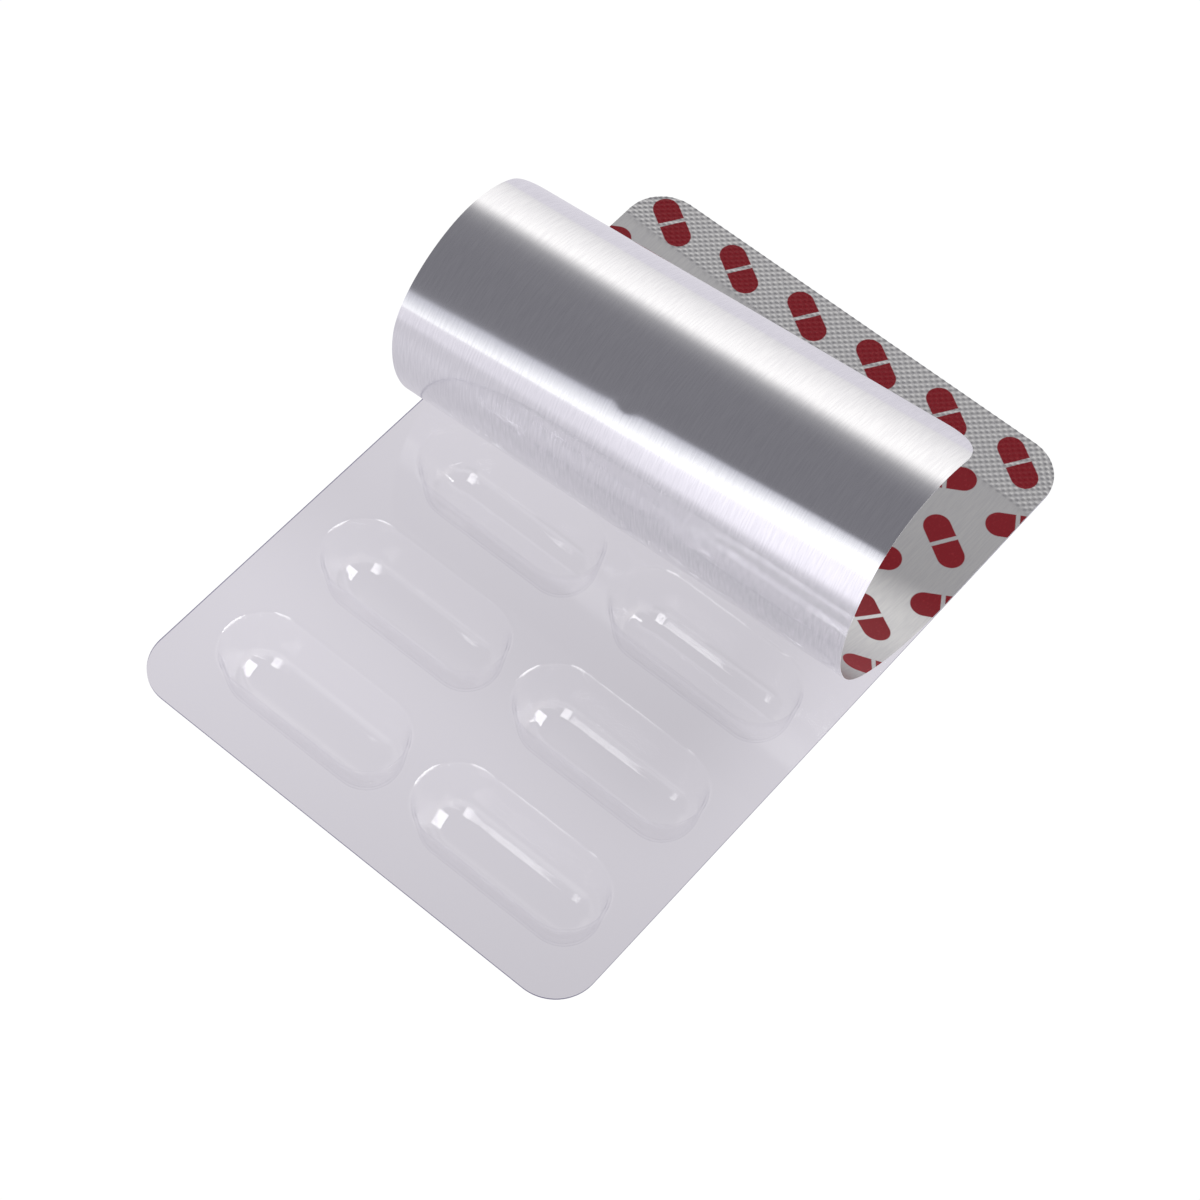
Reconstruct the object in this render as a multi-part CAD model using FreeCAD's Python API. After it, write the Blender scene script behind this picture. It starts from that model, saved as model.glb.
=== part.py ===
import FreeCAD, Part
from math import cos, degrees, hypot, radians, sin, tan
import os

# A pill blister pack lying on its pockets, with its lidding foil peeled back from the near end.
# Lengths are in millimetres and angles in degrees.
# Frame: the origin is under the middle of the sheet, on the surface that the pockets rest on.
# +X runs across the sheet, +Y along it towards the end where the foil is still sealed, +Z up.

# The clear sheet
film = 0.25
corner_radius = 4.8
columns = 2
rows = 5
side_margin = 3.6
near_margin = 5.9
far_margin = 7.5
column_gap = 2.2
row_gap = 5.4

# A pocket: a slot with round ends, drawn down from the top face of the sheet
pocket_length = 23.8
pocket_width = 9.8
pocket_depth = 7.45
pocket_draft = 8.0
pocket_floor_width = 1.1
lip_radius = 0.6

# The lidding foil. Its two sides curl over as chains of tangent arcs, each ending in a plainly round tail.
# Both chains pass through the same slopes, so that straight lines of the foil join equal slopes and it
# bends with hardly any stretching, as a real one does.
foil = 0.05
curl_slopes = (0.0, 35.0, 65.0, 95.0, 125.0, 160.0)
left_curl_radii = (8.0, 9.7, 20.9, 9.6, 14.3)
right_curl_radii = (27.8, 12.8, 18.3, 19.1, 8.8)
left_tail_radius = 10.7
right_tail_radius = 12.9
left_tail_length = 14.8
right_tail_length = 13.6

# Sizes that follow
sheet_width = 2 * side_margin + columns * pocket_length + (columns - 1) * column_gap
sheet_length = near_margin + rows * pocket_width + (rows - 1) * row_gap + far_margin
left_edge = -sheet_width / 2
near_edge = -sheet_length / 2
far_edge = sheet_length / 2
flange_underside = pocket_depth
flange_top = flange_underside + film

UP = FreeCAD.Vector(0, 0, 1)
ALONG_X = FreeCAD.Vector(1, 0, 0)
ALONG_Y = FreeCAD.Vector(0, 1, 0)
SAME_POINT = 1e-6


def line(start, end):
    return Part.LineSegment(start, end).toShape()


def arc(start, middle, end):
    return Part.Arc(start, middle, end).toShape()


def on_circle(centre, radius, angle, plane):
    """The point of a circle at an angle in the plane of two unit vectors."""
    across, up = plane
    turn = radians(angle)
    return centre + across * (radius * cos(turn)) + up * (radius * sin(turn))


def round_arc(centre, radius, first, last, plane):
    """The arc of a circle from one angle to another."""
    middle = (first + last) / 2
    return arc(*[on_circle(centre, radius, angle, plane) for angle in (first, middle, last)])


def rounded_outline(low_x, high_x, low_y, high_y, radius, height):
    """A rectangle with four round corners, as a wire at a height. A slot has no straight ends."""
    plane = (ALONG_X, ALONG_Y)
    corners = (
        (high_x - radius, low_y + radius, -90),
        (high_x - radius, high_y - radius, 0),
        (low_x + radius, high_y - radius, 90),
        (low_x + radius, low_y + radius, 180),
    )
    arcs = []
    for x, y, angle in corners:
        centre = FreeCAD.Vector(x, y, height)
        arcs.append(round_arc(centre, radius, angle, angle + 90, plane))
    edges = []
    for corner, following in zip(arcs, arcs[1:] + arcs[:1]):
        edges.append(corner)
        start, end = corner.lastVertex().Point, following.firstVertex().Point
        if start.distanceToPoint(end) > SAME_POINT:
            edges.append(line(start, end))
    return Part.Wire(edges)


def slab(wire, thickness):
    return Part.Face(wire).extrude(UP * thickness)


def fused(first, others):
    """One clean solid from solids that meet face to face."""
    return first.multiFuse(others).removeSplitter().Solids[0]


# The clear sheet

def pocket_section(side):
    """Half of the film's section across a pocket, from its middle out to the flange.

    side is the unit vector that points out of the pocket. Both faces of the film share the centre of
    the floor round. The lip is rounded on top, and meets the flange in a sharp corner underneath.
    """
    half_width = pocket_width / 2
    half_floor = pocket_floor_width / 2
    lean = radians(pocket_draft)
    room = (half_width - half_floor) * cos(lean) - pocket_depth * sin(lean)
    floor_radius = room / (1 - sin(lean)) - lip_radius
    plane = (side, UP)
    rim = side * half_width + UP * flange_top
    floor_centre = side * half_floor + UP * (flange_top - pocket_depth + floor_radius)

    def floor_and_round(radius):
        bend = round_arc(floor_centre, radius, -90, -pocket_draft, plane)
        middle = FreeCAD.Vector(0, 0, bend.firstVertex().Point.z)
        return [line(middle, bend.firstVertex().Point), bend]

    inside = floor_and_round(floor_radius)
    outside = floor_and_round(floor_radius + film)
    lip = round_arc(rim - UP * lip_radius, lip_radius, 180 - pocket_draft, 90, plane)
    foot = outside[-1].lastVertex().Point
    knee = foot + (side * tan(lean) + UP) * (flange_underside - foot.z)
    edges = inside + [
        line(inside[-1].lastVertex().Point, lip.firstVertex().Point),
        lip,
        line(rim, rim - UP * film),
        line(rim - UP * film, knee),
        line(knee, foot),
    ]
    middle = line(outside[0].firstVertex().Point, inside[0].firstVertex().Point)
    return Part.Face(Part.Wire(edges + outside[::-1] + [middle]))


def pocket_film():
    """The film of one pocket round the origin: two half turns of the section, and a straight run between."""
    straight = pocket_length - pocket_width
    to_end = ALONG_X * (straight / 2)
    pieces = []
    for side in (ALONG_Y, -ALONG_Y):
        section = pocket_section(side)
        run = section.extrude(ALONG_X * straight)
        run.translate(-to_end)
        end = section.revolve(FreeCAD.Vector(0, 0, 0), UP, 180)
        end.translate(to_end * -side.y)
        pieces += [run, end]
    return fused(pieces[0], pieces[1:])


def pocket_mouth():
    """The slot that a pocket leaves in the flange, out to where its lip starts to turn down."""
    half_length, half_width = pocket_length / 2, pocket_width / 2
    wire = rounded_outline(
        -half_length, half_length, -half_width, half_width, half_width, flange_underside
    )
    return slab(wire, film)


def pocket_centres():
    """Across the columns and along the rows, from the margins at the left and near edges."""
    first_x = left_edge + side_margin + pocket_length / 2
    first_y = near_edge + near_margin + pocket_width / 2
    for row in range(rows):
        for column in range(columns):
            x = first_x + column * (pocket_length + column_gap)
            y = first_y + row * (pocket_width + row_gap)
            yield FreeCAD.Vector(x, y, 0)


def blister_sheet():
    outline = rounded_outline(left_edge, -left_edge, near_edge, far_edge, corner_radius, flange_underside)
    film_of_pocket, mouth = pocket_film(), pocket_mouth()
    centres = list(pocket_centres())
    mouths = [mouth.translated(centre) for centre in centres]
    pockets = [film_of_pocket.translated(centre) for centre in centres]
    flange = slab(outline, film).cut(Part.makeCompound(mouths))
    return fused(flange, pockets)


# The lidding foil

def direction(slope):
    """Along the foil, towards its free end, where it slopes up by an angle from the sheet."""
    return UP * sin(radians(slope)) - ALONG_Y * cos(radians(slope))


def inward(slope):
    """Square to the foil, towards the inside of its curl."""
    return UP * cos(radians(slope)) + ALONG_Y * sin(radians(slope))


class Side:
    """One side of the curl, from the sheet's near edge measured back along the foil to the peel line."""

    def __init__(self, x, radii, tail_radius, tail_length):
        self.radii = radii + (tail_radius,)
        tail_turn = degrees(tail_length / tail_radius)
        self.slopes = curl_slopes + (curl_slopes[-1] + tail_turn,)
        turns = [after - before for before, after in zip(self.slopes, self.slopes[1:])]
        peeled = sum(radius * radians(turn) for radius, turn in zip(self.radii, turns))
        self.start = FreeCAD.Vector(x, near_edge + peeled, flange_top)

    def chain(self, inset):
        """The tangent arcs of the underside, or of a face parallel to it, and where they end."""
        edges, point = [], self.start
        for radius, before, after in zip(self.radii, self.slopes, self.slopes[1:]):
            centre = point + inward(before) * radius
            corners = [centre - inward(a) * radius for a in (before, (before + after) / 2, after)]
            inner = [corner + (centre - corner) * (inset / radius) for corner in corners]
            edges.append(arc(*inner))
            point = corners[-1]
        return edges

    def end(self):
        return self.chain(0)[-1].lastVertex().Point


def ruled_solid(left_edges, right_edges):
    """A solid with straight lines from each edge of one closed outline to its fellow in the other."""
    faces = [Part.makeRuledSurface(a, b) for a, b in zip(left_edges, right_edges)]
    ends = [Part.Face(Part.Wire(edges)) for edges in (left_edges, right_edges)]
    shell = Part.makeShell(faces + ends)
    shell.sewShape()
    solid = Part.Solid(shell)
    solid.fix(SAME_POINT, SAME_POINT, SAME_POINT)
    return solid


def curl(left, right):
    """The peeled part of the foil, with square corners."""
    outlines = []
    for side in (left, right):
        under, printed = side.chain(0), side.chain(foil)
        free = line(under[-1].lastVertex().Point, printed[-1].lastVertex().Point)
        peel = line(printed[0].firstVertex().Point, under[0].firstVertex().Point)
        outlines.append(under + [free] + printed[::-1] + [peel])
    return ruled_solid(*outlines)


def corner_cutter(corner, back, across):
    """What rounds a free corner of the foil off: the square outside a quarter round, right through it."""
    height = back.cross(across).normalize()
    half_angle = back.getAngle(across) / 2
    reach = corner_radius / tan(half_angle)
    centre_line = (back + across).normalize()
    centre = corner + centre_line * hypot(corner_radius, reach)
    on_back, on_across = corner + back * reach, corner + across * reach
    crown = centre - centre_line * corner_radius
    outside = corner_radius
    edges = [
        arc(on_back, crown, on_across),
        line(on_across, on_across - back * outside),
        line(on_across - back * outside, corner - (back + across) * outside),
        line(corner - (back + across) * outside, on_back - across * outside),
        line(on_back - across * outside, on_back),
    ]
    depth = height * (corner_radius / 2)
    face = Part.Face(Part.Wire(edges))
    face.translate(-depth)
    return face.extrude(depth * 2)


def sealed_part(left, right):
    """The flat part of the foil, from the slanting peel line to the sheet's far corners."""
    plane = (ALONG_X, ALONG_Y)
    far_y = far_edge - corner_radius
    right_centre = FreeCAD.Vector(right.start.x - corner_radius, far_y, flange_top)
    left_centre = FreeCAD.Vector(left.start.x + corner_radius, far_y, flange_top)
    right_corner = round_arc(right_centre, corner_radius, 0, 90, plane)
    left_corner = round_arc(left_centre, corner_radius, 90, 180, plane)
    edges = [
        line(left.start, right.start),
        line(right.start, right_corner.firstVertex().Point),
        right_corner,
        line(right_corner.lastVertex().Point, left_corner.firstVertex().Point),
        left_corner,
        line(left_corner.lastVertex().Point, left.start),
    ]
    return slab(Part.Wire(edges), foil)


def lidding_foil():
    left = Side(left_edge, left_curl_radii, left_tail_radius, left_tail_length)
    right = Side(-left_edge, right_curl_radii, right_tail_radius, right_tail_length)
    sheet = fused(sealed_part(left, right), [curl(left, right)])
    across = (right.end() - left.end()).normalize()
    cutters = []
    for side, inwards in ((left, across), (right, -across)):
        cutters.append(corner_cutter(side.end(), -direction(side.slopes[-1]), inwards))
    return sheet.cut(Part.makeCompound(cutters)).Solids[0]


os.makedirs("parts", exist_ok=True)
for node in (blister_sheet, lidding_foil):
    node().exportStep(f"parts/{node.__name__}.step")
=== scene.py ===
from math import cos, exp, pi, radians, sin, tan

import bpy
from mathutils import Matrix, Quaternion, Vector
from mathutils.geometry import delaunay_2d_cdt


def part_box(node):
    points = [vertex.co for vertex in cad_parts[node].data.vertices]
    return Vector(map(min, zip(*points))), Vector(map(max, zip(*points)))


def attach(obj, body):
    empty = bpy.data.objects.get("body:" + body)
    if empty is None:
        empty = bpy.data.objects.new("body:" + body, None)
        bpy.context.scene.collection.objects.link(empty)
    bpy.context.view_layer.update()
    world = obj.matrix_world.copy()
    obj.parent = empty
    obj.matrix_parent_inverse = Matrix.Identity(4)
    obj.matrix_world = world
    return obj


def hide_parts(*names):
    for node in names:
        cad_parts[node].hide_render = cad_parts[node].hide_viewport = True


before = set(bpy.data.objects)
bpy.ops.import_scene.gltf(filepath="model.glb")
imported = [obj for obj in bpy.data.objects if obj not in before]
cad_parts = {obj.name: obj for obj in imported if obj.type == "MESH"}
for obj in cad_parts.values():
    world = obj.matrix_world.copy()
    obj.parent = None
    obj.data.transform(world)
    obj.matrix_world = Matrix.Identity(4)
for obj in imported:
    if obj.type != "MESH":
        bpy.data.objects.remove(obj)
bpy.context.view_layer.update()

# A clear blister sheet lying on its pockets, and the lidding foil that is peeled back over it.
# Lengths are in metres unless a name says mm. The frame is the one of the solids: the origin is under the
# middle of the sheet, +X runs across it, +Y along it towards the sealed end, and +Z is up.

MM = 0.001

# The sheet, as in the solids
SHEET_LOW, SHEET_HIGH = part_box("blister_sheet")
SHEET_WIDTH = SHEET_HIGH.x - SHEET_LOW.x
SHEET_LENGTH = SHEET_HIGH.y - SHEET_LOW.y
TOP = SHEET_HIGH.z
NEAR, FAR = SHEET_LOW.y, SHEET_HIGH.y
LEFT, RIGHT = SHEET_LOW.x, SHEET_HIGH.x
FILM = 0.25 * MM
CORNER = 4.8 * MM
COLUMNS, ROWS = 2, 5
SIDE_MARGIN, NEAR_MARGIN = 3.6 * MM, 5.9 * MM
COLUMN_GAP, ROW_GAP = 2.2 * MM, 5.4 * MM
POCKET_LENGTH, POCKET_WIDTH = 23.8 * MM, 9.8 * MM
POCKET_DEPTH = TOP - SHEET_LOW.z - FILM
POCKET_DRAFT = radians(8.0)
POCKET_FLOOR = 1.1 * MM
LIP = 0.6 * MM

# The foil, as in the solids
FOIL = 0.05 * MM
SLOPES = [radians(a) for a in (0, 35, 65, 95, 125, 160)]
LEFT_RADII = [r * MM for r in (8.0, 9.7, 20.9, 9.6, 14.3, 10.7)]
RIGHT_RADII = [r * MM for r in (27.8, 12.8, 18.3, 19.1, 8.8, 12.9)]
LEFT_TAIL, RIGHT_TAIL = 14.8 * MM, 13.6 * MM

# The camera, as worked out from the photograph's perspective
CAMERA_PLACE = Vector((97.10, -143.13, 284.78)) * MM
CAMERA_AIM = Vector((1.58, -4.00, 7.70)) * MM
CAMERA_ROLL = radians(6.35)
CAMERA_LENS = 95.04
CAMERA_SENSOR = 36.0

# How finely the sheet is divided
ARC_STEPS = 28
RUN_STEPS = 14
LIP_STEPS = 6
WALL_STEPS = 5
BEND_STEPS = 14
CORNER_STEPS = 18
RIM_BAND = 0.2 * MM

# How finely the foil is divided. A fine column is a sixth of the knurl's pitch.
FINE_COLUMNS = 388
FINE_PER_COARSE = 4
STRIP_ROWS = 50
FOIL_ROWS = 144

# The knurled strip that the sealing tool leaves along the foil's far edge
STRIP_AT_LEFT = 5.7 * MM
STRIP_AT_RIGHT = 8.0 * MM
KNURL_PITCH = 6 * SHEET_WIDTH / FINE_COLUMNS
KNURL_HEIGHT = 0.05 * MM
KNURL_FADE = 0.35 * MM

DENT_ACROSS, DENT_BACK = -2.0 * MM, 64.7 * MM
DENT_RADIUS, DENT_DEPTH = 0.9 * MM, 0.09 * MM

SHARP = radians(40)
INSIDE_THE_OUTLINE = 1
UNROLLED = "unrolled"


def between(first, last, share):
    return first + (last - first) * share


def new_piece(name, points, faces, materials, finishes, unrolled=None):
    """A smooth mesh object. finishes gives each face's place in materials, unrolled each point's UV."""
    mesh = bpy.data.meshes.new(name)
    mesh.from_pydata(points, [], faces)
    for material in materials:
        mesh.materials.append(material)
    mesh.polygons.foreach_set("material_index", finishes)
    mesh.shade_smooth()
    mesh.set_sharp_from_angle(angle=SHARP)
    if unrolled:
        layer = mesh.uv_layers.new(name=UNROLLED)
        for loop in mesh.loops:
            layer.data[loop.index].uv = unrolled[loop.vertex_index]
    piece = bpy.data.objects.new(name, mesh)
    bpy.context.scene.collection.objects.link(piece)
    return piece


# Material helpers

def new_material(name):
    material = bpy.data.materials.new(name)
    material.use_nodes = True
    tree = material.node_tree
    tree.nodes.clear()
    return material, tree, tree.nodes.new("ShaderNodeOutputMaterial")


def node(tree, kind, **inputs):
    """A node with its sockets set from values or linked from other sockets. Spaces are underscores."""
    made = tree.nodes.new(kind)
    for name, value in inputs.items():
        socket = made.inputs[name.replace("_", " ")]
        if isinstance(value, bpy.types.NodeSocket):
            tree.links.new(value, socket)
        else:
            socket.default_value = value
    return made


def sums(tree, operation, *values):
    """A Math node on one, two or three numbers or sockets."""
    made = tree.nodes.new("ShaderNodeMath")
    made.operation = operation
    for socket, value in zip(made.inputs, values):
        if isinstance(value, bpy.types.NodeSocket):
            tree.links.new(value, socket)
        else:
            socket.default_value = value
    return made.outputs[0]


def unrolled_axes(tree):
    """How far across the foil and how far back along it a point lies, in metres."""
    source = node(tree, "ShaderNodeUVMap")
    source.uv_map = UNROLLED
    split = node(tree, "ShaderNodeSeparateXYZ", Vector=source.outputs[0])
    return split.outputs[0], split.outputs[1]


def stretched_noise(tree, across, back, size, detail):
    """Noise whose patches have about this size across the foil and along it."""
    width, length = size
    vector = node(tree, "ShaderNodeCombineXYZ")
    tree.links.new(sums(tree, "DIVIDE", across, width), vector.inputs[0])
    tree.links.new(sums(tree, "DIVIDE", back, length), vector.inputs[1])
    made = node(tree, "ShaderNodeTexNoise", Vector=vector.outputs[0], Scale=1.0, Detail=detail)
    return made.outputs[0]


def ranged(tree, value, low, high, to_low, to_high):
    made = node(
        tree, "ShaderNodeMapRange", Value=value, From_Min=low, From_Max=high, To_Min=to_low, To_Max=to_high
    )
    return made.outputs[0]


def smooth(tree, value, low, high):
    """0 where a value is at low and 1 where it is at high, with soft ends. low may be the greater."""
    made = node(tree, "ShaderNodeMapRange", Value=value, From_Min=low, From_Max=high)
    made.interpolation_type = "SMOOTHSTEP"
    return made.outputs[0]


def mixed_colour(tree, share, first, last):
    made = tree.nodes.new("ShaderNodeMix")
    made.data_type = "RGBA"
    for socket, value in ((made.inputs[0], share), (made.inputs[6], first), (made.inputs[7], last)):
        if isinstance(value, bpy.types.NodeSocket):
            tree.links.new(value, socket)
        else:
            socket.default_value = value
    return made.outputs[2]


# The clear film

FILM_TINT = (0.997, 0.996, 0.998, 1.0)
FILM_GRAZING_TINT = (0.52, 0.50, 0.60, 1.0)
GRAZING_POWER = 13.0
FILM_EDGE_TINT = (0.30, 0.29, 0.40, 1.0)
FILM_GLOSS = 0.026
FILM_ROUGHNESS = 0.035
SCHLICK_POWER = 5.0
FACING_BLEND = 0.5
RIPPLE_SCALE, RIPPLE_STRENGTH, RIPPLE_DEPTH = 240.0, 0.15, 0.06 * MM
WHITE = (1.0, 1.0, 1.0, 1.0)


def clear_film(name, tint, grazing_tint=None):
    """Gloss over a see-through tint, which may turn to another colour at grazing."""
    material, tree, output = new_material(name)
    see_through = node(tree, "ShaderNodeBsdfTransparent", Color=tint)
    if grazing_tint:
        facing = node(tree, "ShaderNodeLayerWeight", Blend=FACING_BLEND).outputs["Facing"]
        skim = sums(tree, "POWER", facing, GRAZING_POWER)
        tree.links.new(mixed_colour(tree, skim, tint, grazing_tint), see_through.inputs["Color"])
    place = node(tree, "ShaderNodeTexCoord").outputs["Object"]
    ripple = node(tree, "ShaderNodeTexNoise", Vector=place, Scale=RIPPLE_SCALE, Detail=2.0).outputs[0]
    bump = node(
        tree, "ShaderNodeBump", Strength=RIPPLE_STRENGTH, Distance=RIPPLE_DEPTH, Height=ripple
    ).outputs[0]
    gloss = node(tree, "ShaderNodeBsdfGlossy", Color=WHITE, Roughness=FILM_ROUGHNESS, Normal=bump)
    rippled = node(tree, "ShaderNodeLayerWeight", Blend=FACING_BLEND, Normal=bump).outputs["Facing"]
    rise = sums(tree, "POWER", rippled, SCHLICK_POWER)
    share = sums(tree, "MULTIPLY_ADD", rise, 1.0 - FILM_GLOSS, FILM_GLOSS)
    mix = node(tree, "ShaderNodeMixShader", Fac=share)
    tree.links.new(see_through.outputs[0], mix.inputs[1])
    tree.links.new(gloss.outputs[0], mix.inputs[2])
    tree.links.new(mix.outputs[0], output.inputs[0])
    return material


# The foil

FOIL_COLOUR = (0.895, 0.895, 0.915, 1.0)
FOIL_STREAK = (0.825, 0.825, 0.850, 1.0)
PRINTED_COLOUR = (0.60, 0.60, 0.605, 1.0)
PRINTED_STREAK = (0.545, 0.545, 0.56, 1.0)
FOIL_EDGE_COLOUR = (0.92, 0.92, 0.93, 1.0)
INK = (0.345, 0.008, 0.020, 1.0)
INK_WORN = (0.430, 0.024, 0.036, 1.0)

# The sizes of the foil's streaks, waves and worn specks, across it and along it, and how much each does
STREAK_SIZE, STREAK_BAND = (0.18 * MM, 2.6 * MM), (0.35, 0.65)
WAVE_SIZE = (6.0 * MM, 9.0 * MM)
WEAR_SIZE, WEAR_BAND = (0.25 * MM, 0.5 * MM), (0.55, 0.75)
ROUGH_BAND, ROUGH_SPREAD = (0.3, 0.7), 0.02
WAVE_STRENGTH, WAVE_DEPTH = 0.2, 0.1 * MM
GRAIN_STRENGTH, GRAIN_DEPTH = 0.02, 0.01 * MM

# How rough and how brushed each side is
SEALING_FINISH = (0.13, 0.3)
PRINTED_FINISH = (0.36, 0.35)
INK_ROUGHNESS, INK_SHINE = 0.38, 0.25

# The printed motif: a capsule in two halves, tilted one way in one row and the other way in the next
MOTIF_PITCH_ACROSS = 9.5 * MM
MOTIF_PITCH_BACK = 6.6 * MM
MOTIF_LENGTH = 6.8 * MM
MOTIF_WIDTH = 3.0 * MM
MOTIF_GAP = 0.45 * MM
MOTIF_TILT = radians(32)
MOTIF_BLUR = 0.05 * MM


def bare_metal(tree, across, back, colour, streak, roughness, anisotropy):
    """Rolled aluminium: fine streaks that run along the foil, under faint waves."""
    fine = stretched_noise(tree, across, back, STREAK_SIZE, detail=3.0)
    broad = stretched_noise(tree, across, back, WAVE_SIZE, detail=1.0)
    base = mixed_colour(tree, ranged(tree, fine, *STREAK_BAND, 0.0, 1.0), colour, streak)
    rough = ranged(tree, fine, *ROUGH_BAND, roughness - ROUGH_SPREAD, roughness + ROUGH_SPREAD)
    waves = node(tree, "ShaderNodeBump", Strength=WAVE_STRENGTH, Distance=WAVE_DEPTH, Height=broad)
    grain = node(
        tree,
        "ShaderNodeBump",
        Strength=GRAIN_STRENGTH,
        Distance=GRAIN_DEPTH,
        Height=fine,
        Normal=waves.outputs[0],
    )
    tangent = node(tree, "ShaderNodeTangent")
    tangent.direction_type = "UV_MAP"
    tangent.uv_map = UNROLLED
    shader = node(
        tree,
        "ShaderNodeBsdfPrincipled",
        Base_Color=base,
        Metallic=1.0,
        Roughness=rough,
        Anisotropic=anisotropy,
        Tangent=tangent.outputs[0],
        Normal=grain.outputs[0],
    )
    return shader.outputs[0]


def sealing_side():
    material, tree, output = new_material("foil_sealing_side")
    across, back = unrolled_axes(tree)
    metal = bare_metal(tree, across, back, FOIL_COLOUR, FOIL_STREAK, *SEALING_FINISH)
    tree.links.new(metal, output.inputs[0])
    return material


def from_middle(tree, place, pitch):
    """How far a point is from the middle of its cell, where place counts cells of one pitch."""
    return sums(tree, "MULTIPLY", sums(tree, "SUBTRACT", sums(tree, "FRACT", place), 0.5), pitch)


def motif_mask(tree, across, back):
    """1 inside a printed capsule and 0 outside, worked out from the distance to its middle line."""
    row_place = sums(tree, "DIVIDE", back, MOTIF_PITCH_BACK)
    odd = sums(tree, "FLOORED_MODULO", sums(tree, "FLOOR", row_place), 2.0)
    column_place = sums(tree, "DIVIDE", across, MOTIF_PITCH_ACROSS)
    column_place = sums(tree, "MULTIPLY_ADD", odd, 0.5, column_place)
    x = from_middle(tree, column_place, MOTIF_PITCH_ACROSS)
    y = from_middle(tree, row_place, MOTIF_PITCH_BACK)
    tilt_cos = cos(MOTIF_TILT)
    tilt_sin = sums(tree, "MULTIPLY", sums(tree, "MULTIPLY_ADD", odd, -2.0, 1.0), sin(MOTIF_TILT))
    along = sums(tree, "MULTIPLY_ADD", y, tilt_sin, sums(tree, "MULTIPLY", x, tilt_cos))
    aside = sums(tree, "SUBTRACT", sums(tree, "MULTIPLY", y, tilt_cos), sums(tree, "MULTIPLY", x, tilt_sin))
    off_middle = sums(tree, "ABSOLUTE", along)
    past_end = sums(tree, "SUBTRACT", off_middle, (MOTIF_LENGTH - MOTIF_WIDTH) / 2)
    past_end = sums(tree, "MAXIMUM", past_end, 0.0)
    square = sums(tree, "MULTIPLY_ADD", past_end, past_end, sums(tree, "MULTIPLY", aside, aside))
    inside = sums(tree, "SUBTRACT", MOTIF_WIDTH / 2, sums(tree, "SQRT", square))
    off_gap = sums(tree, "SUBTRACT", off_middle, MOTIF_GAP / 2)
    nearest = sums(tree, "MINIMUM", inside, off_gap)
    return ranged(tree, nearest, -MOTIF_BLUR, MOTIF_BLUR, 0.0, 1.0)


def printed_side():
    material, tree, output = new_material("foil_printed_side")
    across, back = unrolled_axes(tree)
    metal = bare_metal(tree, across, back, PRINTED_COLOUR, PRINTED_STREAK, *PRINTED_FINISH)
    wear = stretched_noise(tree, across, back, WEAR_SIZE, detail=3.0)
    ink_colour = mixed_colour(tree, ranged(tree, wear, *WEAR_BAND, 0.0, 1.0), INK, INK_WORN)
    ink = node(
        tree,
        "ShaderNodeBsdfPrincipled",
        Base_Color=ink_colour,
        Roughness=INK_ROUGHNESS,
        Specular_IOR_Level=INK_SHINE,
    )
    mix = node(tree, "ShaderNodeMixShader", Fac=motif_mask(tree, across, back))
    tree.links.new(metal, mix.inputs[1])
    tree.links.new(ink.outputs[0], mix.inputs[2])
    tree.links.new(mix.outputs[0], output.inputs[0])
    return material


def foil_edge():
    """The cut edge, dull and bright."""
    material, tree, output = new_material("foil_cut_edge")
    shader = node(
        tree, "ShaderNodeBsdfPrincipled", Base_Color=FOIL_EDGE_COLOUR, Metallic=0.4, Roughness=0.6
    )
    tree.links.new(shader.outputs[0], output.inputs[0])
    return material


# The sheet's mesh

def run_step(side, step):
    """Both straight runs of a ring share the points of the middle line, in opposite orders."""
    return step if side > 0 else RUN_STEPS - step


def ring_stations():
    """For each point of a ring round a pocket, where it starts on the middle line and its way out."""
    half_run = (POCKET_LENGTH - POCKET_WIDTH) / 2
    stations = []
    for side in (1, -1):
        for step in range(ARC_STEPS + 1):
            turn = pi * (step / ARC_STEPS - 0.5)
            stations.append((side * half_run, side * cos(turn), side * sin(turn)))
        for step in range(1, RUN_STEPS):
            stations.append((half_run * (1 - 2 * run_step(side, step) / RUN_STEPS), 0.0, side))
    return stations


def pocket_profile():
    """The upper face from flange to floor: the way out, the height and the direction square to it."""
    half_width, half_floor = POCKET_WIDTH / 2, POCKET_FLOOR / 2
    room = (half_width - half_floor) * cos(POCKET_DRAFT) - POCKET_DEPTH * sin(POCKET_DRAFT)
    bend = room / (1 - sin(POCKET_DRAFT)) - LIP
    bend_height = TOP - POCKET_DEPTH + bend
    steps = [(half_width + RIM_BAND, TOP, 0.0, 1.0)]
    for step in range(LIP_STEPS + 1):
        turn = between(pi / 2, pi - POCKET_DRAFT, step / LIP_STEPS)
        steps.append((half_width + LIP * cos(turn), TOP - LIP + LIP * sin(turn), cos(turn), sin(turn)))
    wall_top = steps[-1]
    for step in range(BEND_STEPS + 1):
        turn = between(-POCKET_DRAFT, -pi / 2, step / BEND_STEPS)
        out, up = half_floor + bend * cos(turn), bend_height + bend * sin(turn)
        if step == 0:
            for part in range(1, WALL_STEPS):
                share = part / WALL_STEPS
                between_ends = (between(wall_top[0], out, share), between(wall_top[1], up, share))
                steps.append(between_ends + wall_top[2:])
        steps.append((out, up, -cos(turn), -sin(turn)))
    return steps


def pocket_centres():
    for row in range(ROWS):
        for column in range(COLUMNS):
            x = LEFT + SIDE_MARGIN + POCKET_LENGTH / 2 + column * (POCKET_LENGTH + COLUMN_GAP)
            y = NEAR + NEAR_MARGIN + POCKET_WIDTH / 2 + row * (POCKET_WIDTH + ROW_GAP)
            yield x, y


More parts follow.
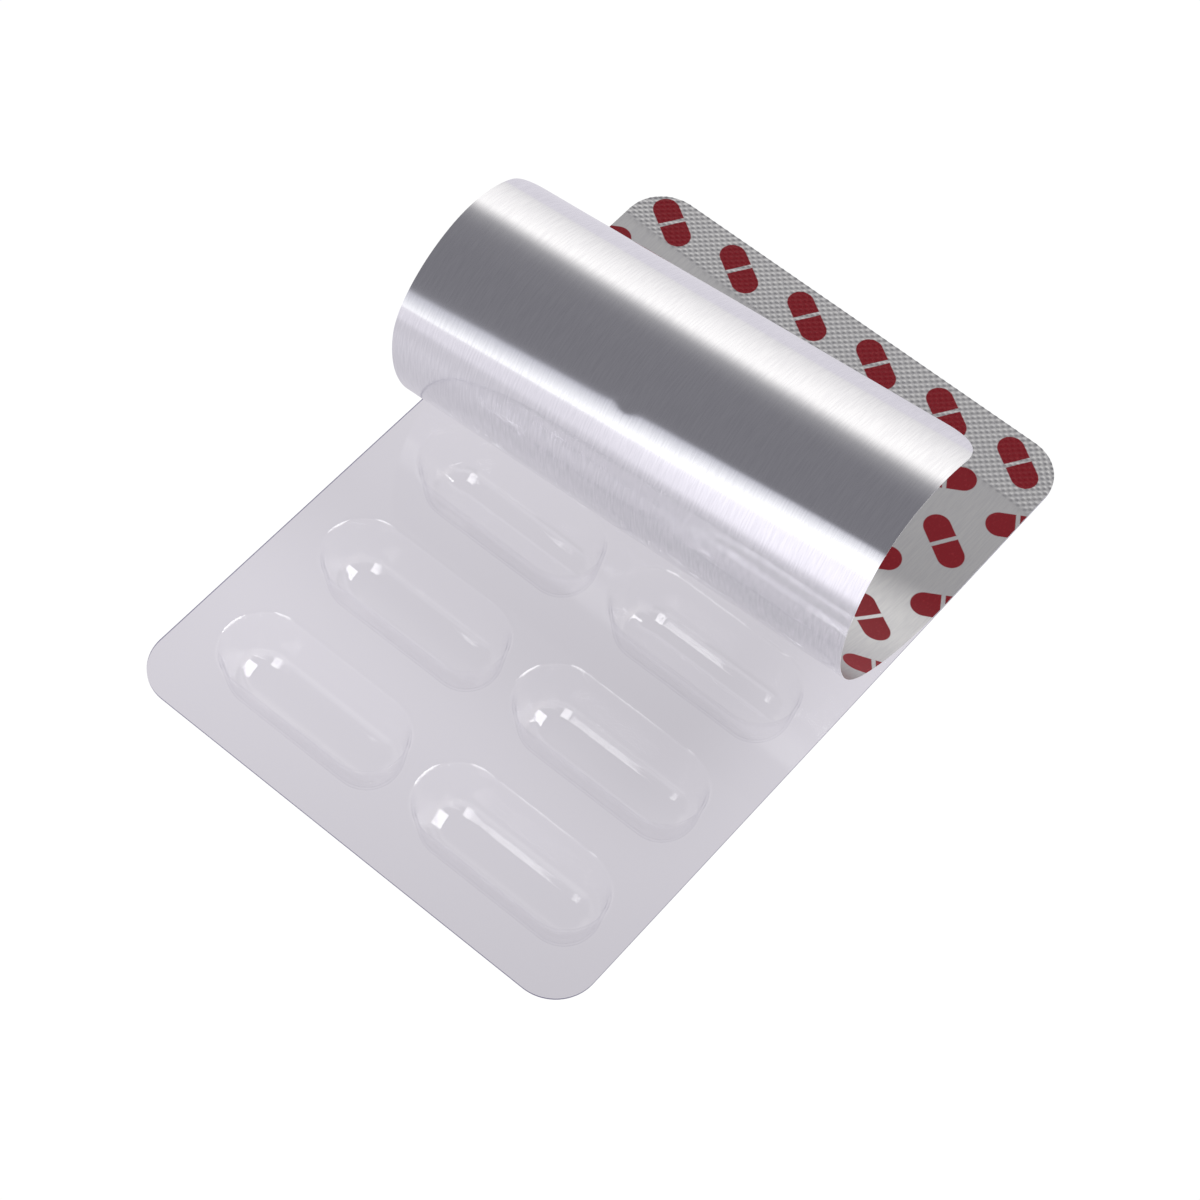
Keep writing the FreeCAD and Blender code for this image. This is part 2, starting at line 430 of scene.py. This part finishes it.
def sheet_outline():
    """The outline of the sheet, against the clock."""
    points = []
    corners = ((RIGHT, NEAR, -90), (RIGHT, FAR, 0), (LEFT, FAR, 90), (LEFT, NEAR, 180))
    for x, y, start in corners:
        centre_x = x - CORNER if x > 0 else x + CORNER
        centre_y = y - CORNER if y > 0 else y + CORNER
        for step in range(CORNER_STEPS + 1):
            turn = radians(start + 90 * step / CORNER_STEPS)
            points.append((centre_x + CORNER * cos(turn), centre_y + CORNER * sin(turn)))
    return points


def flat_fill(loops):
    """Triangles between an outline and the holes in it. Loops are lists of (index, x, y).

    The holes bulge outwards all round, so only a triangle that fills one has all its corners on one loop.
    """
    flat = [(number, *entry) for number, loop in enumerate(loops) for entry in loop]
    points = [Vector((x, y)) / MM for number, index, x, y in flat]
    edges, first = [], 0
    for loop in loops:
        count = len(loop)
        edges += [(first + step, first + (step + 1) % count) for step in range(count)]
        first += count
    made = delaunay_2d_cdt(points, edges, [], INSIDE_THE_OUTLINE, 1e-6)
    sources = [flat[found[0]] for found in made[3]]
    faces = []
    for face in made[2]:
        touched = {sources[corner][0] for corner in face}
        if len(touched) > 1 or touched == {0}:
            faces.append(tuple(sources[corner][1] for corner in face))
    return faces


def sheet_skin(points, depth):
    """Adds one face of the film, depth below the upper one, and returns its faces and outline."""
    stations, profile = ring_stations(), pocket_profile()
    count = len(stations)
    outline = []
    for x, y in sheet_outline():
        outline.append((len(points), x, y))
        points.append((x, y, TOP - depth))
    loops, faces = [outline], []
    for centre_x, centre_y in pocket_centres():
        rings = []
        for out, up, square_out, square_up in profile:
            out, up = out - square_out * depth, up - square_up * depth
            rings.append(len(points))
            for base, way_x, way_y in stations:
                points.append((centre_x + base + out * way_x, centre_y + out * way_y, up))
        middle = {}
        for base, way_x, way_y in stations:
            if base not in middle:
                middle[base] = len(points)
                points.append((centre_x + base, centre_y, profile[-1][1] - depth))
        for here in range(count):
            there = (here + 1) % count
            for outer, inner in zip(rings, rings[1:]):
                faces.append((outer + here, outer + there, inner + there, inner + here))
            centre_line = [middle[stations[there][0]], middle[stations[here][0]]]
            if centre_line[0] == centre_line[1]:
                centre_line.pop()
            faces.append((rings[-1] + here, rings[-1] + there, *centre_line))
        loops.append([(rings[0] + step, *points[rings[0] + step][:2]) for step in range(count)])
    faces += flat_fill(loops)
    return faces, [index for index, x, y in outline]


def clear_sheet():
    points, faces = [], []
    upper, upper_outline = sheet_skin(points, 0.0)
    lower, lower_outline = sheet_skin(points, FILM)
    count = len(upper_outline)
    wall = []
    for here in range(count):
        there = (here + 1) % count
        wall.append((lower_outline[here], lower_outline[there], upper_outline[there], upper_outline[here]))
    faces = upper + [face[::-1] for face in lower] + wall
    finishes = [0] * (len(upper) + len(lower)) + [1] * len(wall)
    materials = [
        clear_film("film_face", FILM_TINT, FILM_GRAZING_TINT),
        clear_film("film_cut_edge", FILM_EDGE_TINT),
    ]
    return new_piece("clear_sheet", points, faces, materials, finishes)


# The foil's mesh

class Side:
    """One side edge of the foil: where it lifts off the sheet, and the tangent arcs that follow."""

    def __init__(self, radii, tail_length):
        slopes = SLOPES + [SLOPES[-1] + tail_length / radii[-1]]
        turns = list(zip(radii, slopes, slopes[1:]))
        self.lengths = [radius * (after - before) for radius, before, after in turns]
        self.peel = NEAR + sum(self.lengths)
        self.arcs = []
        y, z = self.peel, TOP
        for radius, before, after in turns:
            centre_y, centre_z = y + radius * sin(before), z + radius * cos(before)
            self.arcs.append((centre_y, centre_z, radius, before, after))
            y, z = centre_y - radius * sin(after), centre_z - radius * cos(after)

    def point(self, arc, share, inset):
        centre_y, centre_z, radius, before, after = self.arcs[arc]
        slope = between(before, after, share)
        reach = radius - inset
        return Vector((0, centre_y - reach * sin(slope), centre_z - reach * cos(slope)))


LEFT_SIDE = Side(LEFT_RADII, LEFT_TAIL)
RIGHT_SIDE = Side(RIGHT_RADII, RIGHT_TAIL)


def foil_point(across, back, inset):
    """Where a point of the foil lies. across and back are measured on the foil laid flat again."""
    share = (across - LEFT) / (RIGHT - LEFT)
    along = back - (FAR - between(LEFT_SIDE.peel, RIGHT_SIDE.peel, share))
    if along <= 0:
        return Vector((across, FAR - back, TOP + inset))
    last = len(SLOPES) - 1
    for arc in range(last + 1):
        length = between(LEFT_SIDE.lengths[arc], RIGHT_SIDE.lengths[arc], share)
        if along <= length or arc == last:
            part = along / length
            left, right = LEFT_SIDE.point(arc, part, inset), RIGHT_SIDE.point(arc, part, inset)
            point = between(left, right, share)
            point.x = across
            return point
        along -= length


def with_round_corners(across, back):
    """Draws the square corners of the flat foil in to quarter rounds, and moves nothing else."""
    middle = SHEET_LENGTH / 2
    beside = (abs(across) - (RIGHT - CORNER)) / CORNER
    beyond = (abs(back - middle) - (middle - CORNER)) / CORNER
    if beside <= 0 or beyond <= 0:
        return across, back
    round_beside = beside * (1 - beyond**2 / 2) ** 0.5
    round_beyond = beyond * (1 - beside**2 / 2) ** 0.5
    new_across = (RIGHT - CORNER + CORNER * round_beside) * (1 if across > 0 else -1)
    new_back = middle + (middle - CORNER + CORNER * round_beyond) * (1 if back > middle else -1)
    return new_across, new_back


def strip_depth(across):
    return between(STRIP_AT_LEFT, STRIP_AT_RIGHT, (across - LEFT) / (RIGHT - LEFT))


def knurl(across, back):
    """How high the seal's small bumps stand."""
    inside = (strip_depth(across) - back) / KNURL_FADE
    if inside <= 0:
        return 0.0
    turn = 2 * pi / KNURL_PITCH
    bump = max(0.0, cos(turn * across) * cos(turn * back))
    return KNURL_HEIGHT * min(1.0, inside) * bump


def dent(across, back):
    """A small dent that the photograph shows near the middle of the foil."""
    square = (across - DENT_ACROSS) ** 2 + (back - DENT_BACK) ** 2
    return DENT_DEPTH * exp(-square / DENT_RADIUS**2)


def foil_rows():
    """For each row of points, how many columns it has and how far back it lies at a place across."""
    for row in range(STRIP_ROWS + 1):
        share = row / STRIP_ROWS
        yield FINE_COLUMNS, lambda across, share=share: strip_depth(across) * share
    for row in range(1, FOIL_ROWS + 1):
        share = row / FOIL_ROWS
        yield (
            FINE_COLUMNS // FINE_PER_COARSE,
            lambda across, share=share: between(strip_depth(across), SHEET_LENGTH, share),
        )


def row_faces(above, below):
    """Faces between two rows of points. Where the lower row is coarser, a face has more corners above."""
    ratio = (len(above) - 1) // (len(below) - 1)
    faces = []
    for column in range(len(below) - 1):
        upper = above[column * ratio : (column + 1) * ratio + 1]
        faces.append((below[column], below[column + 1], *upper[::-1]))
    return faces


def foil_sheet():
    points, unrolled, skins = [], [], []
    for thickness in (FOIL, 0.0):
        rows = []
        for columns, back_at in foil_rows():
            row = []
            for column in range(columns + 1):
                across = between(LEFT, RIGHT, column / columns)
                across, back = with_round_corners(across, back_at(across))
                row.append(len(points))
                raised = thickness + knurl(across, back) + dent(across, back)
                points.append(foil_point(across, back, raised))
                unrolled.append((across, back))
            rows.append(row)
        skins.append(rows)
    printed, sealing = [], []
    for above, below in zip(skins[0], skins[0][1:]):
        printed += row_faces(above, below)
    for above, below in zip(skins[1], skins[1][1:]):
        sealing += [face[::-1] for face in row_faces(above, below)]
    loops = []
    for rows in skins:
        left_side = [row[0] for row in rows]
        right_side = [row[-1] for row in rows]
        loops.append(rows[0][::-1] + left_side[1:] + rows[-1][1:] + right_side[-2:0:-1])
    edge = []
    for here in range(len(loops[0])):
        there = (here + 1) % len(loops[0])
        edge.append((loops[1][here], loops[1][there], loops[0][there], loops[0][here]))
    faces = printed + sealing + edge
    finishes = [0] * len(printed) + [1] * len(sealing) + [2] * len(edge)
    materials = [printed_side(), sealing_side(), foil_edge()]
    return new_piece("foil_sheet", points, faces, materials, finishes, unrolled)


# The stage

# The floor's levels. A triple says where a change begins and ends, and how much it adds.
FLOOR_SIZE = 8.0
FLOOR_DROP = 0.03 * MM
FLOOR_GREY = (0.672, 0.650, 0.702, 1.0)
FLOOR_WHITE = (1.03, 1.03, 1.03, 1.0)
FLOOR_SLOPE_X, FLOOR_SLOPE_Y = -2.3, 3.0
FLOOR_CENTRE_Y = -20 * MM
FRONT_FLOOR = (-60 * MM, -105 * MM, 0.25)
FRONT_FLOOR_RIGHT, FRONT_FLOOR_SLANT = (-10 * MM, 40 * MM, 0.42), -0.42
BACK_FLOOR = (40 * MM, 60 * MM, 0.02)
CURL_SHADE = (-26 * MM, -6 * MM, -0.15)
CURL_SHADE_SIDE = (28 * MM, 14 * MM)

# The room's lights, by direction. A pair says where a light starts and where it is at full, or where one
# colour starts to turn into the next and where it has. It is a share of the direction's height, of how far
# it points towards the light, or of its height plus a slant.
CEILING = (0.206, 0.203, 0.223, 1.0)
HORIZON = (0.80, 0.80, 0.82, 1.0)
CEILING_HEIGHT = (0.12, 0.30)
TOWARDS_BACK = (-0.423, 0.906)
BACK_SLANT, BACK_SLANT_FROM = 0.438, 0.35
BACK_EDGE, BACK_EDGE_SHARE = (1.01, 0.84), 0.8
BACK_TAIL, BACK_TAIL_SHARE = (1.10, 0.95), 0.2
BACK_SPREAD, BACK_GLOW_HEIGHT = (0.0, 0.35), (0.0, 0.60)
BACK_LIGHT_LOW, BACK_LIGHT_HIGH = (0.81, 0.795, 0.80, 1.0), (1.16, 1.14, 1.12, 1.0)
TOWARDS_FRONT = (-0.391, -0.921)
FRONT_SLANT = -1.523
FRONT_EDGE, FRONT_SPREAD, FRONT_TOP = (1.03, 0.98), (0.0, 0.3), (0.46, 0.36)
FRONT_GLOW_SLANT = (1.0, 0.6)
FRONT_LIGHT_FAR, FRONT_LIGHT_NEAR = (0.54, 0.54, 0.61, 1.0), (1.38, 1.38, 1.39, 1.0)
TOWARDS_RIGHT = (0.94, 0.33)
RIGHT_SPREAD, RIGHT_TOP = (0.5, 0.9), (0.45, 0.2)
RIGHT_GLOW = (1.9, 1.83, 1.75, 1.0)

# The film's lamps: name, azimuth from +Y towards +X, elevation, roll, apparent width and height, radiance.
# The angles are in degrees.
LAMP_DISTANCE = 3.0
FILM_LAMPS = (
    ("window", 71, 38, 0, 44, 40, 8.0),
    ("front_lamp", -178, 36, 1.5, 23, 34, 6.5),
    ("front_strip", -160.8, 36.5, 11.6, 1.7, 23, 3.6),
    ("side_strip", -157.2, 34.7, 13.7, 0.2, 18, 5.0),
)


def white_floor():
    """The photograph's floor was cut out to white round the object, but stays grey behind the film.

    So it is white only where it is seen directly, and grey through the film and in the foil. It lies a
    little under the pockets' floors, so that the two don't share a plane.
    """
    half = FLOOR_SIZE / 2
    low = -FLOOR_DROP
    corners = [(-half, -half, low), (half, -half, low), (half, half, low), (-half, half, low)]
    material, tree, output = new_material("floor")
    place = node(tree, "ShaderNodeTexCoord")
    split = node(tree, "ShaderNodeSeparateXYZ", Vector=place.outputs["Object"])
    x, y = split.outputs[0], split.outputs[1]
    near_x = sums(tree, "MINIMUM", sums(tree, "MAXIMUM", x, LEFT), RIGHT)
    near_y = sums(tree, "MINIMUM", sums(tree, "MAXIMUM", y, NEAR), FAR)
    level = sums(tree, "MULTIPLY_ADD", near_x, FLOOR_SLOPE_X, 1.0)
    level = sums(tree, "MULTIPLY_ADD", sums(tree, "SUBTRACT", near_y, FLOOR_CENTRE_Y), FLOOR_SLOPE_Y, level)
    for start, end, rise in (FRONT_FLOOR, BACK_FLOOR):
        level = sums(tree, "MULTIPLY_ADD", smooth(tree, y, start, end), rise, level)
    start, end, rise = FRONT_FLOOR_RIGHT
    rightness = smooth(tree, sums(tree, "MULTIPLY_ADD", y, FRONT_FLOOR_SLANT, x), start, end)
    beyond = smooth(tree, y, FRONT_FLOOR[0], FRONT_FLOOR[1])
    level = sums(tree, "MULTIPLY_ADD", sums(tree, "MULTIPLY", rightness, beyond), rise, level)
    start, end, rise = CURL_SHADE
    shade = sums(tree, "MULTIPLY", smooth(tree, y, start, end), smooth(tree, x, *CURL_SHADE_SIDE))
    level = sums(tree, "MULTIPLY_ADD", shade, rise, level)
    grey = node(tree, "ShaderNodeEmission", Color=FLOOR_GREY, Strength=level)
    white = node(tree, "ShaderNodeEmission", Color=FLOOR_WHITE, Strength=1.0)
    path = node(tree, "ShaderNodeLightPath")
    unfilmed = sums(tree, "LESS_THAN", path.outputs["Transparent Depth"], 0.5)
    direct = sums(tree, "MULTIPLY", path.outputs["Is Camera Ray"], unfilmed)
    mix = node(tree, "ShaderNodeMixShader", Fac=direct)
    tree.links.new(grey.outputs[0], mix.inputs[1])
    tree.links.new(white.outputs[0], mix.inputs[2])
    tree.links.new(mix.outputs[0], output.inputs[0])
    return new_piece("floor", corners, [(0, 1, 2, 3)], [material], [0])


def towards(tree, x, y, way):
    """How far a direction points along a level way."""
    return sums(tree, "MULTIPLY_ADD", x, way[0], sums(tree, "MULTIPLY", y, way[1]))


def back_light(tree, x, y, z, colour):
    leftwards = sums(tree, "MAXIMUM", sums(tree, "MULTIPLY", x, -1.0), BACK_SLANT_FROM)
    slanted = sums(tree, "MULTIPLY_ADD", leftwards, BACK_SLANT, z)
    edge = sums(tree, "MULTIPLY", smooth(tree, slanted, *BACK_EDGE), BACK_EDGE_SHARE)
    edge = sums(tree, "MULTIPLY_ADD", smooth(tree, slanted, *BACK_TAIL), BACK_TAIL_SHARE, edge)
    spread = smooth(tree, towards(tree, x, y, TOWARDS_BACK), *BACK_SPREAD)
    rise = ranged(tree, z, *BACK_GLOW_HEIGHT, 0.0, 1.0)
    glow = mixed_colour(tree, rise, BACK_LIGHT_LOW, BACK_LIGHT_HIGH)
    return mixed_colour(tree, sums(tree, "MULTIPLY", edge, spread), colour, glow)


def front_light(tree, x, y, z, colour):
    slanted = sums(tree, "MULTIPLY_ADD", x, FRONT_SLANT, z)
    spread = smooth(tree, towards(tree, x, y, TOWARDS_FRONT), *FRONT_SPREAD)
    share = sums(tree, "MULTIPLY", smooth(tree, slanted, *FRONT_EDGE), spread)
    share = sums(tree, "MULTIPLY", share, smooth(tree, z, *FRONT_TOP))
    rise = ranged(tree, slanted, *FRONT_GLOW_SLANT, 0.0, 1.0)
    glow = mixed_colour(tree, rise, FRONT_LIGHT_FAR, FRONT_LIGHT_NEAR)
    return mixed_colour(tree, share, colour, glow)


def right_glow(tree, x, y, z, colour):
    spread = smooth(tree, towards(tree, x, y, TOWARDS_RIGHT), *RIGHT_SPREAD)
    share = sums(tree, "MULTIPLY", spread, smooth(tree, z, *RIGHT_TOP))
    return mixed_colour(tree, share, colour, RIGHT_GLOW)


def pale_room():
    """The room that the foil mirrors: a pale horizon, broad lights on three sides and a dark ceiling."""
    world = bpy.data.worlds.new("room")
    bpy.context.scene.world = world
    world.use_nodes = True
    tree = world.node_tree
    tree.nodes.clear()
    way = node(tree, "ShaderNodeTexCoord")
    split = node(tree, "ShaderNodeSeparateXYZ", Vector=way.outputs["Generated"])
    x, y, z = split.outputs[0], split.outputs[1], split.outputs[2]
    colour = mixed_colour(tree, smooth(tree, z, *CEILING_HEIGHT), HORIZON, CEILING)
    for add_light in (back_light, front_light, right_glow):
        colour = add_light(tree, x, y, z, colour)
    light = node(tree, "ShaderNodeBackground", Color=colour, Strength=1.0)
    output = tree.nodes.new("ShaderNodeOutputWorld")
    tree.links.new(light.outputs[0], output.inputs[0])


def film_lamps(film):
    """The lamps that show as highlights in the film, and light nothing else."""
    receivers = bpy.data.collections.new("film")
    receivers.objects.link(film)
    for name, azimuth, elevation, roll, wide, high, radiance in FILM_LAMPS:
        light = bpy.data.lights.new(name, "AREA")
        light.shape = "RECTANGLE"
        light.size = 2 * LAMP_DISTANCE * tan(radians(wide / 2))
        light.size_y = 2 * LAMP_DISTANCE * tan(radians(high / 2))
        light.energy = radiance * pi * light.size * light.size_y
        turn, rise = radians(azimuth), radians(elevation)
        way = Vector((sin(turn) * cos(rise), cos(turn) * cos(rise), sin(rise)))
        lamp = bpy.data.objects.new(name, light)
        lamp.location = way * LAMP_DISTANCE
        rolled = way.to_track_quat("Z", "Y") @ Quaternion((0, 0, 1), radians(roll))
        lamp.rotation_euler = rolled.to_euler()
        lamp.visible_camera = False
        bpy.context.scene.collection.objects.link(lamp)
        lamp.light_linking.receiver_collection = receivers


def camera():
    lens = bpy.data.cameras.new("camera")
    lens.lens = CAMERA_LENS
    lens.sensor_width = CAMERA_SENSOR
    lens.clip_start = 0.01
    eye = bpy.data.objects.new("camera", lens)
    way = (CAMERA_AIM - CAMERA_PLACE).normalized()
    level_right = way.cross(Vector((0, 0, 1))).normalized()
    level_up = level_right.cross(way)
    right = level_right * cos(CAMERA_ROLL) + level_up * sin(CAMERA_ROLL)
    up = right.cross(way)
    turned = Matrix((right, up, -way)).transposed().to_4x4()
    eye.matrix_world = Matrix.Translation(CAMERA_PLACE) @ turned
    bpy.context.scene.collection.objects.link(eye)
    bpy.context.scene.camera = eye


bpy.context.scene.view_settings.view_transform = "Standard"
camera()
pale_room()
white_floor()

clear = clear_sheet()
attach(clear, "root")
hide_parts("blister_sheet")
film_lamps(clear)

peeled_foil = foil_sheet()
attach(peeled_foil, "root")
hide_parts("lidding_foil")
